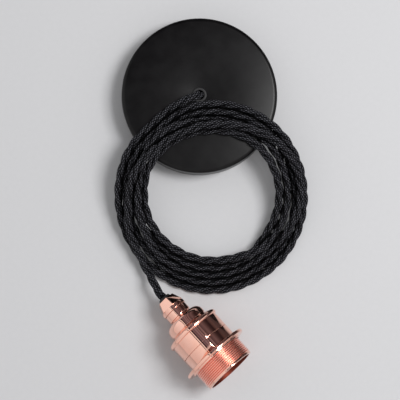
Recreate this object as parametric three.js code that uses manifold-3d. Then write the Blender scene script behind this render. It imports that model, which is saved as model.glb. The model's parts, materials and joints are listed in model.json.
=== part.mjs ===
// Pendant cord set: a steel ceiling rose, a twisted braided flex and a copper E27 lampholder.
// It lies as it is laid out on a table: the rose face up on its rim, the flex coiled half on
// the rose and half on the table, and the lampholder on its side at the end of the flex.
// Millimetres, +Z up. The origin is the centre of the rose's back, on the table.

import * as THREE from 'three';
import { mergeVertices } from 'three/addons/utils/BufferGeometryUtils.js';
import Module from 'manifold-3d';

const wasm = await Module();
wasm.setup();

// Fits that every part uses
const clearance = 0.3;
const seatGap = 0.2;

// Flex: three braided cores twisted together
const coreDiameter = 3;
const flexDiameter = 6.3;

// Ceiling rose cover
const roseDiameter = 112;
const roseHeight = 22;
const roseWall = 1.2;
const roseEdgeRadius = 3;

// Outlet bush in the middle of the cover
const bushWall = 1;
const bushFlangeWidth = 0.6;
const bushFlangeHeight = 1;
const bushDepth = 3;

// Mounting strap behind the cover
const strapWidth = 16;
const strapThickness = 1.5;
const strapBendRadius = 1.2;
const strapTabHeight = 13;
const fixingSlotWidth = 5.2;
const fixingSlotLength = 18;
const fixingCentres = 70;
const earWidth = 34;
const earLength = 28;

// Screws: radius of the shank of each kind
const sideScrewRadius = 2;
const sideScrewHeight = 8;
const clampScrewRadius = 1.4;
const poleScrewRadius = 1.5;
const earthScrewRadius = 1.8;
const earthWasherThickness = 0.8;
const screwHeadHeight = 1.6;
const screwHeadOverhang = 1.2;
const screwSlotWidth = 0.7;
const screwSlotDepth = 0.7;

// Cord clamp on the strap
const clampOffset = 5;
const clampDepth = 5;
const clampThickness = 1.8;
const clampFootWidth = 7.4;

// Terminal block on the strap's ear
const poleCount = 3;
const polePitch = 10;
const poleHeight = 5.2;
const poleTubeRadius = 2.3;
const poleTubeBore = 1.7;
const poleInset = 1.5;
const poleScrewSpread = 7;
const turretWidth = 6.4;
const blockDepth = 15;
const blockHeight = 11.5;
const blockBaseHeight = 4;
const blockScrewRadius = 1;
const blockOffset = 12;

// Lampholder: grip
const gripBushProud = 2;
const gripBushWall = 1.55;
const gripNutTipAcross = 12.2;
const gripNutBaseAcross = 16.8;
const gripNutTaper = 6.9;
const gripNutCornerTrim = 0.45;
const gripNutChamfer = 0.6;
const gripBandDiameter = 19;
const gripBandLength = 3.3;
const gripSocketDepth = 5;
const gripSocketDiameter = 14;
const gripBarrelDiameter = 17.8;
const gripBarrelLength = 5.4;
const gripNeckDiameter = 14.2;
const gripNeckLength = 0.9;
const entryThreadDiameter = 10;
const entryThreadLength = 3;
const entryBossWall = 1.7;
const entryBossLength = 3.4;

// Lampholder: cap
const capDomeDiameter = 30.4;
const capDomeHeight = 8.2;
const capDomeRadius = 5.4;
const capWall = 1;
const capShoulderDrop = 2.4;
const capBeadDiameter = 41.8;
const capBeadHeight = 3.4;
const capBeadEnd = 60;
const bodyDiameter = 39.3;
const capBodyLength = 11.2;

// Lampholder: threaded skirt and shade ring
const skirtPlainLength = 8;
const skirtThreadLength = 16.4;
const skirtThreadDiameter = 39.6;
const skirtRimLength = 1.8;
const skirtStubLength = 8;
const skirtStubWall = 1.1;
const shadeRingDiameter = 51;
const shadeRingThickness = 2.4;
const shadeRingEdgeRadius = 0.8;
const shadeRingHubWall = 1.2;
const shadeRingHubLength = 3.6;
const shadeRingStart = 0.8;

// Lampholder: insulator and contacts
const insulatorRecess = 5;
const insulatorFlange = 2;
const insulatorDeck = 6;
const shellRadius = 13.9;
const shellWall = 0.6;
const shellThreadPitch = 3.6;
const shellThreadDepth = 0.8;
const shellTurns = 5;
const shellStandoff = 2;
const contactWidth = 6;
const contactThickness = 0.6;
const contactReach = 4.6;
const terminalCircle = 9.6;
const terminalWidth = 6;
const terminalHeight = 5;
const terminalScrewRadius = 1.3;

// Where the lampholder lies, its open end tilted up a little
const holderX = -117.3;
const gripY = -91;
const holderTiltDegrees = 8.4;

// Coil: a ring of flex that lies over the rose's rim and on the table
const coilCentreX = -42.6;
const coilCentreY = -57.7;
const coilInnerRadius = 45;
const coilOuterRadius = 69;
const coilHeight = 13;
const grooveEnd = [-31, 6.4];
const drapeLedge = 3;
const drapeRun = 56;

const roseRadius = roseDiameter / 2;
const flexRadius = flexDiameter / 2;
const coreRadius = coreDiameter / 2;
const holeSlack = flexRadius + clearance;

// Rounded pieces are revolved with as many sides as their size needs
const roseSides = 48;
const largeSides = 40;
const mediumSides = 24;
const smallSides = 12;

// Geometry helpers

function closed(geometry) {
  const plain = geometry.index ? geometry : mergeVertices(geometry);
  plain.deleteAttribute('normal');
  plain.deleteAttribute('uv');
  const merged = mergeVertices(plain, 1e-4);
  const position = merged.attributes.position;
  const faces = [];
  let volume = 0;
  const a = new THREE.Vector3();
  const b = new THREE.Vector3();
  const c = new THREE.Vector3();
  for (let i = 0; i < merged.index.count; i += 3) {
    const face = [merged.index.getX(i), merged.index.getX(i + 1), merged.index.getX(i + 2)];
    if (face[0] === face[1] || face[1] === face[2] || face[2] === face[0]) continue;
    a.fromBufferAttribute(position, face[0]);
    b.fromBufferAttribute(position, face[1]);
    c.fromBufferAttribute(position, face[2]);
    volume += a.dot(b.cross(c));
    faces.push(face);
  }
  const ordered = volume < 0 ? faces.map(([i, j, k]) => [i, k, j]) : faces;
  const result = new THREE.BufferGeometry();
  result.setAttribute('position', position);
  result.setIndex(ordered.flat());
  return result;
}

function toSolid(geometry) {
  const source = closed(geometry);
  return new wasm.Manifold(new wasm.Mesh({
    numProp: 3,
    vertProperties: new Float32Array(source.attributes.position.array),
    triVerts: new Uint32Array(source.index.array),
  }));
}

function fromSolid(solid) {
  const mesh = solid.getMesh();
  const geometry = new THREE.BufferGeometry();
  geometry.setAttribute('position', new THREE.BufferAttribute(mesh.vertProperties, 3));
  geometry.setIndex(new THREE.BufferAttribute(mesh.triVerts, 1));
  return geometry;
}

function combine(base, added, removed) {
  let solid = toSolid(base);
  for (const geometry of added) solid = solid.add(toSolid(geometry));
  for (const geometry of removed) solid = solid.subtract(toSolid(geometry));
  return fromSolid(solid);
}

function cut(base, ...removed) {
  return combine(base, [], removed);
}

// Points of an arc in a profile, angles in degrees from the outward direction
function arc(centreRadius, centreHeight, radius, start, end, steps) {
  const points = [];
  for (let i = 0; i <= steps; i += 1) {
    const angle = THREE.MathUtils.degToRad(start + (end - start) * i / steps);
    points.push([centreRadius + radius * Math.cos(angle), centreHeight + radius * Math.sin(angle)]);
  }
  return points;
}

// A closed profile of [radius, height] points turned about the Z axis
function revolve(profile, sides) {
  const points = [...profile, profile[0]].map(([x, y]) => new THREE.Vector2(x, y));
  return closed(new THREE.LatheGeometry(points, sides).rotateX(Math.PI / 2));
}

function tube(innerRadius, outerRadius, start, end, sides) {
  return revolve([[innerRadius, start], [outerRadius, start], [outerRadius, end], [innerRadius, end]], sides);
}

function rod(radius, start, end, sides) {
  return closed(new THREE.CylinderGeometry(radius, radius, end - start, sides)
    .rotateX(Math.PI / 2).translate(0, 0, (start + end) / 2));
}

function block(width, depth, height, x, y, bottom) {
  return closed(new THREE.BoxGeometry(width, depth, height).translate(x, y, bottom + height / 2));
}

// A flat outline in X and Y given a thickness in Z
function plate(shape, thickness, curveSegments = 6) {
  return closed(new THREE.ExtrudeGeometry(shape, { depth: thickness, bevelEnabled: false, curveSegments }));
}

// A flat outline in X and Z given a width along Y
function sideways(shape, width, curveSegments = 4) {
  return plate(shape, width, curveSegments).rotateX(Math.PI / 2).translate(0, width / 2, 0);
}

function slotShape(length, width) {
  const half = (length - width) / 2;
  const shape = new THREE.Shape();
  shape.absarc(half, 0, width / 2, -Math.PI / 2, Math.PI / 2, false);
  shape.absarc(-half, 0, width / 2, Math.PI / 2, Math.PI * 1.5, false);
  return shape;
}

function roundSection(radius, sides) {
  const points = [];
  for (let i = 0; i < sides; i += 1) {
    const angle = Math.PI * 2 * i / sides;
    points.push(new THREE.Vector2(radius * Math.cos(angle), radius * Math.sin(angle)));
  }
  return new THREE.Shape(points);
}

// A round cord along a smooth line through points
function sweep(points, radius, sides, steps) {
  const path = new THREE.CatmullRomCurve3(points.map(([x, y, z]) => new THREE.Vector3(x, y, z)));
  return closed(new THREE.ExtrudeGeometry(roundSection(radius, sides), {
    extrudePath: path, steps, bevelEnabled: false,
  }));
}

// A slotted screw with its head at the top, its shank going down from zero
function screw(radius, length, headRadius, headHeight) {
  const body = revolve([
    [0, -length],
    [radius, -length],
    [radius, 0],
    [headRadius, 0],
    [headRadius, headHeight],
    [0, headHeight],
  ], smallSides);
  const slotBottom = headHeight - screwSlotDepth;
  const slot = block(headRadius * 2.2, screwSlotWidth, screwSlotDepth * 2, 0, 0, slotBottom);
  return cut(body, slot);
}

function headlessScrew(radius, length) {
  const slot = block(radius * 2.2, screwSlotWidth, screwSlotDepth * 2, 0, 0, -screwSlotDepth);
  return cut(rod(radius, -length, 0, smallSides), slot);
}

// Finishes
const finishes = {
  blackSteel: { color: 0x1d1d1f, roughness: 0.45, metalness: 0.2 },
  zincSteel: { color: 0xb9bcbd, roughness: 0.4, metalness: 0.9 },
  copper: { color: 0xdf9a86, roughness: 0.12, metalness: 1 },
  brass: { color: 0xc9a45c, roughness: 0.3, metalness: 1 },
  blackNylon: { color: 0x141416, roughness: 0.6, metalness: 0 },
  blockNylon: { color: 0xe6e4dc, roughness: 0.5, metalness: 0 },
  phenolic: { color: 0x19181a, roughness: 0.35, metalness: 0 },
  braid: { color: 0x1a1a1d, roughness: 0.9, metalness: 0 },
};

const group = new THREE.Group();
const lampholder = new THREE.Group();
group.add(lampholder);

function piece(name, geometry, finish, parent = group) {
  const mesh = new THREE.Mesh(geometry, new THREE.MeshStandardMaterial(finishes[finish]));
  mesh.name = name;
  parent.add(mesh);
  return mesh;
}

// Ceiling rose

const bushBodyRadius = holeSlack + bushWall;
const roseHoleRadius = bushBodyRadius + clearance;
const bushFlangeRadius = roseHoleRadius + bushFlangeWidth;
const bushTop = roseHeight + seatGap + bushFlangeHeight;
const roseInnerRadius = roseRadius - roseWall;
const sideHoleRadius = sideScrewRadius + clearance;

// Pressed cover: a flat face, a rounded edge and a straight wall, open at the back
function roseCover() {
  const edgeCentre = roseRadius - roseEdgeRadius;
  const edgeHeight = roseHeight - roseEdgeRadius;
  const profile = [
    [roseInnerRadius, 0],
    [roseRadius, 0],
    ...arc(edgeCentre, edgeHeight, roseEdgeRadius, 0, 90, 4),
    [roseHoleRadius, roseHeight],
    [roseHoleRadius, roseHeight - roseWall],
    ...arc(edgeCentre, edgeHeight, roseEdgeRadius - roseWall, 90, 0, 2),
  ];
  const screwHoles = rod(sideHoleRadius, -roseDiameter, roseDiameter, smallSides)
    .rotateY(Math.PI / 2).translate(0, 0, sideScrewHeight);
  return cut(revolve(profile, roseSides), screwHoles);
}

function outletBush() {
  const flangeBottom = roseHeight + seatGap;
  const rounding = bushFlangeHeight * 0.4;
  return revolve([
    [holeSlack, roseHeight - bushDepth],
    [bushBodyRadius, roseHeight - bushDepth],
    [bushBodyRadius, flangeBottom],
    [bushFlangeRadius, flangeBottom],
    [bushFlangeRadius, bushTop - rounding],
    [bushFlangeRadius - rounding, bushTop],
    [holeSlack, bushTop],
  ], mediumSides);
}

piece('rose_cover', roseCover(), 'blackSteel');
piece('outlet_bush', outletBush(), 'blackNylon');

// Mounting strap: sheet folded up at both ends, with an ear for the terminal block
const tabFace = Math.sqrt(roseInnerRadius ** 2 - (strapWidth / 2) ** 2) - clearance;
const clampY = clampOffset + clampDepth / 2;
const coreSpacing = coreDiameter + 0.6;
const archHalfWidth = coreSpacing + coreRadius + clearance;
const clampScrewX = archHalfWidth + (clampThickness + clampFootWidth) / 2;
const clampHoleRadius = clampScrewRadius + clearance;
const blockStart = strapWidth / 2 + blockOffset;
const blockY = blockStart + blockDepth / 2;
const blockBottom = strapThickness + seatGap;
const blockWidth = (poleCount - 1) * polePitch + turretWidth;
const earEnd = strapWidth / 2 + earLength;
const earthWasherRadius = earthScrewRadius * 2;
const earthScrewX = -(archHalfWidth + clampFootWidth + clearance * 2 + earthWasherRadius + 2);

function strapSection() {
  const outer = strapBendRadius + strapThickness;
  const bendX = tabFace - outer;
  const shape = new THREE.Shape();
  shape.moveTo(-bendX, 0);
  shape.lineTo(bendX, 0);
  shape.absarc(bendX, outer, outer, -Math.PI / 2, 0, false);
  shape.lineTo(tabFace, strapTabHeight);
  shape.lineTo(tabFace - strapThickness, strapTabHeight);
  shape.absarc(bendX, outer, strapBendRadius, 0, -Math.PI / 2, true);
  shape.lineTo(-bendX, strapThickness);
  shape.absarc(-bendX, outer, strapBendRadius, -Math.PI / 2, -Math.PI, true);
  shape.lineTo(-tabFace + strapThickness, strapTabHeight);
  shape.lineTo(-tabFace, strapTabHeight);
  shape.absarc(-bendX, outer, outer, -Math.PI, -Math.PI / 2, false);
  return shape;
}

function mountingStrap() {
  const through = strapThickness * 4;
  const ear = block(earWidth, earEnd, strapThickness, 0, earEnd / 2, 0);
  const sideHole = rod(sideHoleRadius, -roseRadius, roseRadius, smallSides)
    .rotateY(Math.PI / 2).translate(0, 0, sideScrewHeight);
  const holes = [sideHole];
  for (const side of [-1, 1]) {
    holes.push(plate(slotShape(fixingSlotLength, fixingSlotWidth), through)
      .translate(side * fixingCentres / 2, 0, -through / 2));
    holes.push(rod(clampHoleRadius, -through, through, smallSides)
      .translate(side * clampScrewX, clampY, 0));
  }
  holes.push(rod(blockScrewRadius + clearance, -through, through, smallSides)
    .translate(polePitch / 2, blockY, 0));
  holes.push(rod(earthScrewRadius + clearance, -through, through, smallSides).translate(earthScrewX, 0, 0));
  return combine(sideways(strapSection(), strapWidth), [ear], holes);
}

piece('mounting_strap', mountingStrap(), 'zincSteel');

const sideScrewLength = roseRadius - (tabFace - strapThickness) + 1;
[-1, 1].forEach((side, index) => {
  const mesh = piece(`side_screw_${index + 1}`, headlessScrew(sideScrewRadius, sideScrewLength), 'zincSteel');
  mesh.rotation.y = side * Math.PI / 2;
  mesh.position.set(side * roseRadius, 0, sideScrewHeight);
});

// Cord clamp: a bridge over the three cores, held down by two screws
function clampBridge() {
  const half = archHalfWidth + clampFootWidth;
  const archTop = clearance * 2 + coreDiameter;
  const shape = new THREE.Shape();
  shape.moveTo(-half, 0);
  shape.lineTo(-archHalfWidth, 0);
  shape.lineTo(-archHalfWidth, archTop);
  shape.lineTo(archHalfWidth, archTop);
  shape.lineTo(archHalfWidth, 0);
  shape.lineTo(half, 0);
  shape.lineTo(half, clampThickness);
  shape.lineTo(archHalfWidth + clampThickness, clampThickness);
  shape.lineTo(archHalfWidth + clampThickness * 0.6, archTop + clampThickness);
  shape.lineTo(-archHalfWidth - clampThickness * 0.6, archTop + clampThickness);
  shape.lineTo(-archHalfWidth - clampThickness, clampThickness);
  shape.lineTo(-half, clampThickness);
  const holes = [-1, 1].map((side) => rod(clampHoleRadius, -1, archTop, smallSides)
    .translate(side * clampScrewX, 0, 0));
  return cut(sideways(shape, clampDepth), ...holes);
}

piece('cord_clamp', clampBridge(), 'zincSteel').position.set(0, clampY, blockBottom);

const clampScrewSeat = blockBottom + clampThickness + seatGap;
const shankTip = seatGap;
[-1, 1].forEach((side, index) => {
  const geometry = screw(clampScrewRadius, clampScrewSeat - shankTip,
    clampScrewRadius + screwHeadOverhang, screwHeadHeight);
  const mesh = piece(`clamp_screw_${index + 1}`, geometry, 'zincSteel');
  mesh.position.set(side * clampScrewX, clampY, clampScrewSeat);
});

// Earth screw with its washer, clamping on the strap
const washerTop = strapThickness + seatGap + earthWasherThickness;
const earthSeat = washerTop + seatGap;
piece('earth_washer', tube(earthScrewRadius + clearance, earthWasherRadius, strapThickness + seatGap,
  washerTop, smallSides), 'brass').position.set(earthScrewX, 0, 0);
piece('earth_screw', screw(earthScrewRadius, earthSeat - shankTip, earthScrewRadius + screwHeadOverhang,
  screwHeadHeight), 'brass').position.set(earthScrewX, 0, earthSeat);

// Terminal block: a base with one turret for each pole, a brass tube through each turret
const poleZ = blockBottom + poleHeight;
const poleX = (index) => (index - (poleCount - 1) / 2) * polePitch;
const poleTubeTop = poleZ + poleTubeRadius + clearance;
const blockTop = blockBottom + blockHeight;

function terminalBlock() {
  const base = block(blockWidth, blockDepth, blockBaseHeight, 0, blockY, blockBottom);
  const turrets = [];
  const holes = [];
  for (let index = 0; index < poleCount; index += 1) {
    turrets.push(block(turretWidth, blockDepth, blockHeight, poleX(index), blockY, blockBottom));
    holes.push(rod(poleTubeRadius + clearance, -blockDepth, blockDepth, smallSides)
      .rotateX(Math.PI / 2).translate(poleX(index), blockY, poleZ));
    for (const side of [-1, 1]) {
      holes.push(rod(poleScrewRadius + clearance, poleZ, blockTop + 1, smallSides)
        .translate(poleX(index), blockY + side * poleScrewSpread / 2, 0));
    }
  }
  holes.push(rod(blockScrewRadius + clearance, 0, blockTop, smallSides).translate(polePitch / 2, blockY, 0));
  return combine(base, turrets, holes);
}

piece('terminal_block', terminalBlock(), 'blockNylon');

const blockScrewSeat = blockBottom + blockBaseHeight + seatGap;
piece('block_screw', screw(blockScrewRadius, blockScrewSeat - shankTip, blockScrewRadius * 1.4,
  screwHeadHeight), 'zincSteel').position.set(polePitch / 2, blockY, blockScrewSeat);

for (let index = 0; index < poleCount; index += 1) {
  const half = blockDepth / 2 - poleInset;
  const geometry = tube(poleTubeBore, poleTubeRadius, -half, half, smallSides);
  const insert = piece(`pole_tube_${index + 1}`, geometry, 'brass');
  insert.rotation.x = Math.PI / 2;
  insert.position.set(poleX(index), blockY, poleZ);
  [-1, 1].forEach((side, end) => {
    const name = `pole_screw_${index * 2 + end + 1}`;
    const mesh = piece(name, headlessScrew(poleScrewRadius, blockTop - poleTubeTop), 'brass');
    mesh.position.set(poleX(index), blockY + side * poleScrewSpread / 2, blockTop);
  });
}

// The flex's three cores inside the rose, from the bush under the clamp to the poles
const coreNames = ['live', 'earth', 'neutral'];
const coreAngles = [210, 90, 330];
const coreCircle = (coreDiameter + seatGap) / Math.sqrt(3);
const coreSides = 8;
const coreSteps = 12;

function coreStart(index) {
  const angle = THREE.MathUtils.degToRad(coreAngles[index]);
  return [coreCircle * Math.cos(angle), coreCircle * Math.sin(angle)];
}

coreNames.forEach((name, index) => {
  const [startX, startY] = coreStart(index);
  const clampX = (index - 1) * coreSpacing;
  const coreZ = strapThickness + seatGap + clearance + coreRadius;
  const belowBush = roseHeight - bushDepth - coreDiameter / 2;
  const bend = belowBush - coreZ;
  const path = [
    [startX, startY, bushTop - clearance],
    [startX, startY, belowBush],
    [(startX + clampX) / 2, startY, coreZ + bend * 0.6],
    [clampX, startY / 2 + 0.8, coreZ + bend * 0.2],
    [clampX, clampOffset - 0.8, coreZ],
    [clampX, clampOffset + clampDepth, coreZ],
    [(clampX + poleX(index)) / 2, (clampOffset + clampDepth + blockStart) / 2, (coreZ + poleZ) / 2],
    [poleX(index), blockStart - clearance, poleZ],
    [poleX(index), blockStart + poleInset - clearance, poleZ],
  ];
  piece(`${name}_core_rose`, sweep(path, coreRadius, coreSides, coreSteps), 'braid');
});

// Lampholder, along its own axis: zero at the mouth of the grip nut, the open end last
const nutEnd = gripNutTaper + gripBandLength;
const socketStart = nutEnd - gripSocketDepth;
const barrelStart = nutEnd + clearance;
const barrelEnd = barrelStart + gripBarrelLength;
const neckEnd = barrelEnd + gripNeckLength;
const capStart = neckEnd + seatGap;
const domeEnd = capStart + capDomeHeight;
const beadStart = domeEnd + capShoulderDrop;
const beadEnd = beadStart + capBeadHeight;
const capEnd = beadEnd + capBodyLength;
const skirtStart = capEnd + clearance;
const threadStart = skirtStart + skirtPlainLength;
const threadEnd = threadStart + skirtThreadLength;
const skirtEnd = threadEnd + skirtRimLength;
const ringStart = threadStart + shadeRingStart;

const gripBushRadius = holeSlack + gripBushWall;
const entryRadius = entryThreadDiameter / 2;
const bodyRadius = bodyDiameter / 2;
const capInnerRadius = bodyRadius - capWall;
const stubRadius = capInnerRadius - clearance;
const skirtInnerRadius = stubRadius - skirtStubWall;
const threadRadius = skirtThreadDiameter / 2;
const stubStart = skirtStart - skirtStubLength;
const deckTop = stubStart - seatGap - insulatorFlange;
const floorTop = deckTop + insulatorDeck;

function gripBush() {
  const rounding = gripBushWall * 0.5;
  const end = socketStart + clearance - seatGap;
  return revolve([
    [holeSlack, end],
    [holeSlack, -gripBushProud],
    [gripBushRadius - rounding, -gripBushProud],
    [gripBushRadius, -gripBushProud + rounding],
    [gripBushRadius, end],
  ], mediumSides);
}

// Clamping nut: a tapered hexagon with turned corners over a round band
function gripNut() {
  const acrossCorners = 1 / Math.cos(Math.PI / 6);
  const tip = gripNutTipAcross / 2;
  const root = gripNutBaseAcross / 2;
  const trim = gripNutCornerTrim;
  const chamfer = gripNutChamfer;
  const band = gripBandDiameter / 2;
  const hexagon = new THREE.CylinderGeometry(root * acrossCorners, tip * acrossCorners, gripNutTaper, 6)
    .rotateX(Math.PI / 2).translate(0, 0, gripNutTaper / 2);
  const turned = revolve([
    [0, 0],
    [tip - chamfer / 2, 0],
    [tip + trim, chamfer],
    [root + trim, gripNutTaper],
    [0, gripNutTaper],
  ], mediumSides);
  const ring = revolve([
    [0, gripNutTaper - clearance],
    [root, gripNutTaper - clearance],
    [band, gripNutTaper + chamfer],
    [band, nutEnd - chamfer],
    [band - chamfer, nutEnd],
    [0, nutEnd],
  ], mediumSides);
  const blank = fromSolid(toSolid(hexagon).intersect(toSolid(turned)));
  return combine(blank, [ring], [
    rod(gripBushRadius + clearance, -1, nutEnd, mediumSides),
    rod(gripSocketDiameter / 2, socketStart, nutEnd + 1, mediumSides),
  ]);
}

// Grip body: a spigot in the nut, a round barrel, a neck and the entry thread
function gripBody() {
  const spigot = gripSocketDiameter / 2 - clearance;
  const barrel = gripBarrelDiameter / 2;
  const neck = gripNeckDiameter / 2;
  const chamfer = 0.4;
  return revolve([
    [holeSlack, socketStart + clearance],
    [spigot, socketStart + clearance],
    [spigot, barrelStart],
    [barrel - chamfer, barrelStart],
    [barrel, barrelStart + chamfer],
    [barrel, barrelEnd - chamfer],
    [barrel - chamfer, barrelEnd],
    [neck, barrelEnd],
    [neck, neckEnd],
    [entryRadius, neckEnd],
    [entryRadius, capStart + entryThreadLength],
    [holeSlack, capStart + entryThreadLength],
  ], mediumSides);
}

// Spun cap: a threaded entry, a domed shoulder, a beaded collar and a straight wall
function holderCap() {
  const dome = capDomeDiameter / 2;
  const beadRadius = capBeadHeight / 2;
  const beadCentre = capBeadDiameter / 2 - beadRadius;
  const entry = entryRadius + clearance;
  const boss = entry + entryBossWall;
  const innerDomeRadius = capDomeRadius - capWall;
  return revolve([
    [entry, capStart],
    ...arc(dome - capDomeRadius, capStart + capDomeRadius, capDomeRadius, -90, 0, 5),
    [dome, domeEnd],
    ...arc(beadCentre, beadStart + beadRadius, beadRadius, -90, capBeadEnd, 5),
    [bodyRadius, beadEnd + 0.2],
    [bodyRadius, capEnd],
    [capInnerRadius, capEnd],
    [capInnerRadius, beadStart + beadRadius],
    [dome - capWall, domeEnd + capWall],
    ...arc(dome - capDomeRadius, capStart + capDomeRadius, innerDomeRadius, 0, -90, 2),
    [boss, capStart + capWall],
    [boss, capStart + entryBossLength],
    [entry, capStart + entryBossLength],
  ], largeSides);
}

// Threaded skirt: a stub inside the cap, a plain band, the shade thread and a plain rim
function threadedSkirt() {
  const rim = threadRadius - 0.5;
  const chamfer = 0.5;
  return revolve([
    [skirtInnerRadius, stubStart],
    [stubRadius, stubStart],
    [stubRadius, skirtStart],
    [bodyRadius, skirtStart],
    [bodyRadius, threadStart],
    [threadRadius, threadStart + (threadRadius - bodyRadius)],
    [threadRadius, threadEnd],
    [rim, threadEnd + chamfer],
    [rim, skirtEnd - chamfer],
    [rim - chamfer, skirtEnd],
    [skirtInnerRadius, skirtEnd],
  ], largeSides);
}

// Shade ring: a flange on a short threaded hub
function shadeRing() {
  const bore = threadRadius + clearance;
  const hub = bore + shadeRingHubWall;
  const edge = shadeRingEdgeRadius;
  const edgeCentre = shadeRingDiameter / 2 - edge;
  return revolve([
    [bore, ringStart],
    ...arc(edgeCentre, ringStart + edge, edge, -90, 0, 2),
    ...arc(edgeCentre, ringStart + shadeRingThickness - edge, edge, 0, 90, 2),
    [hub, ringStart + shadeRingThickness],
    [hub, ringStart + shadeRingHubLength],
    [bore, ringStart + shadeRingHubLength],
  ], largeSides);
}

// Moulded insulator: a deck with a flange, and a cup round the screw shell
function insulator() {
  const cup = skirtInnerRadius - clearance;
  const bore = shellRadius + clearance;
  const end = skirtEnd - insulatorRecess;
  return revolve([
    [0, deckTop],
    [stubRadius, deckTop],
    [stubRadius, deckTop + insulatorFlange],
    [cup, deckTop + insulatorFlange],
    [cup, end],
    [bore, end],
    [bore, floorTop],
    [0, floorTop],
  ], mediumSides);
}

// Screw shell: thin brass rolled to the lamp thread
function screwShell() {
  const outer = [];
  const start = floorTop + shellStandoff;
  for (let step = 0; step <= shellTurns * 2; step += 1) {
    const radius = step % 2 === 0 ? shellRadius : shellRadius - shellThreadDepth;
    outer.push([radius, start + step * shellThreadPitch / 2]);
  }
  const inner = outer.map(([radius, height]) => [radius - shellWall, height]).reverse();
  return revolve([...outer, ...inner], mediumSides);
}

// Centre contact: a spring leaf that rises from the insulator's floor to the axis
function centreContact() {
  const foot = contactWidth * 1.3;
  const line = [[-foot, 0], [-foot / 2, 0], [1.6, contactReach], [4.4, contactReach - 0.6]];
  const shape = new THREE.Shape();
  line.forEach(([x, height], index) => (index ? shape.lineTo(x, height) : shape.moveTo(x, height)));
  [...line].reverse().forEach(([x, height]) => shape.lineTo(x, height + contactThickness));
  return sideways(shape, contactWidth).translate(0, 0, floorTop + seatGap);
}

// Terminal: a brass block on the deck with a hole for its core and a screw from outside
const terminalTop = deckTop - seatGap - terminalHeight;
const terminalHoleRadius = coreRadius + clearance * 2;
const terminalHoleDepth = 1.6;
const terminalScrewHeight = terminalTop + terminalHeight * 0.62;

function terminal() {
  const body = block(terminalWidth, terminalWidth, terminalHeight, terminalCircle, 0, terminalTop);
  const coreHole = rod(terminalHoleRadius, terminalTop - 1, terminalTop + terminalHoleDepth, smallSides)
    .translate(terminalCircle, 0, 0);
  const screwHole = rod(terminalScrewRadius + clearance, 0, terminalWidth, smallSides)
    .rotateY(Math.PI / 2).translate(terminalCircle, 0, terminalScrewHeight);
  return cut(body, coreHole, screwHole);
}

function terminalScrew() {
  const reach = terminalWidth / 2 - clearance;
  return headlessScrew(terminalScrewRadius, reach).rotateY(Math.PI / 2)
    .translate(terminalCircle + terminalWidth / 2, 0, terminalScrewHeight);
}

function coreInHolder(index) {
  const angle = THREE.MathUtils.degToRad(coreAngles[index]);
  const entryEnd = capStart + entryThreadLength;
  const drop = terminalTop - entryEnd;
  const spread = terminalCircle - coreCircle;
  const line = [
    [coreCircle, -gripBushProud + clearance],
    [coreCircle, entryEnd / 2],
    [coreCircle, entryEnd - coreRadius],
    [coreCircle, entryEnd + clearance],
    [coreCircle + spread * 0.12, entryEnd + drop * 0.28],
    [coreCircle + spread * 0.5, entryEnd + drop * 0.56],
    [coreCircle + spread * 0.95, entryEnd + drop * 0.84],
    [terminalCircle, terminalTop],
    [terminalCircle, terminalTop + terminalHoleDepth - clearance],
  ];
  const path = line.map(([radius, height]) => [radius * Math.cos(angle), radius * Math.sin(angle), height]);
  return sweep(path, coreRadius, coreSides, coreSteps);
}

piece('grip_bush', gripBush(), 'blackNylon', lampholder);
piece('grip_nut', gripNut(), 'copper', lampholder);
piece('grip_body', gripBody(), 'copper', lampholder);
piece('holder_cap', holderCap(), 'copper', lampholder);
piece('threaded_skirt', threadedSkirt(), 'copper', lampholder);
piece('shade_ring', shadeRing(), 'copper', lampholder);
piece('insulator', insulator(), 'phenolic', lampholder);
piece('screw_shell', screwShell(), 'brass', lampholder);
piece('centre_contact', centreContact(), 'brass', lampholder);

coreNames.forEach((name, index) => {
  const turn = THREE.MathUtils.degToRad(coreAngles[index]);
  piece(`${name}_terminal`, terminal(), 'brass', lampholder).rotation.z = turn;
  piece(`${name}_terminal_screw`, terminalScrew(), 'zincSteel', lampholder).rotation.z = turn;
  piece(`${name}_core_holder`, coreInHolder(index), 'braid', lampholder);
});

// The lampholder rests on the edge of its shade ring, and the stiff flex holds its grip up
const holderTilt = THREE.MathUtils.degToRad(holderTiltDegrees);
const gripZ = (shadeRingDiameter / 2 - shadeRingEdgeRadius) * Math.cos(holderTilt) + shadeRingEdgeRadius
  - (ringStart + shadeRingEdgeRadius) * Math.sin(holderTilt);
lampholder.rotation.x = Math.PI / 2 - holderTilt;
lampholder.position.set(holderX, gripY, gripZ);

// A point on the lampholder's axis, counted from the mouth of the grip nut
function onHolderAxis(station) {
  return [holderX, gripY - station * Math.cos(holderTilt), gripZ + station * Math.sin(holderTilt)];
}

// Flex: out of the bush, over and down on to the rose, then round the coil
const flexSides = 12;
const exitFloor = roseHeight + clearance + flexRadius;
const exitRoute = [
  [0, 0, bushTop + clearance],
  [-0.4, 0, bushTop + 3.2],
  [-2.6, 0.6, bushTop + 6.6],
  [-6.6, 1.8, bushTop + 8],
  [-12, 3.6, exitFloor + 4.6],
  [-18, 5.2, exitFloor + 2],
  [-24, 6.1, exitFloor + 0.3],
];
piece('flex_exit', sweep(exitRoute, flexRadius, flexSides, 10), 'braid');

// Flex: off the coil's top layer and into the grip bush
const tailRoute = [
  [-112.6, -65.6, 10.8],
  [-114.1, -71.6, 12.4],
  [-115.8, -78, 14.7],
  onHolderAxis(-gripBushProud - 6),
  onHolderAxis(-gripBushProud - clearance),
];
piece('flex_tail', sweep(tailRoute, flexRadius, flexSides, 8), 'braid');

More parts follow.
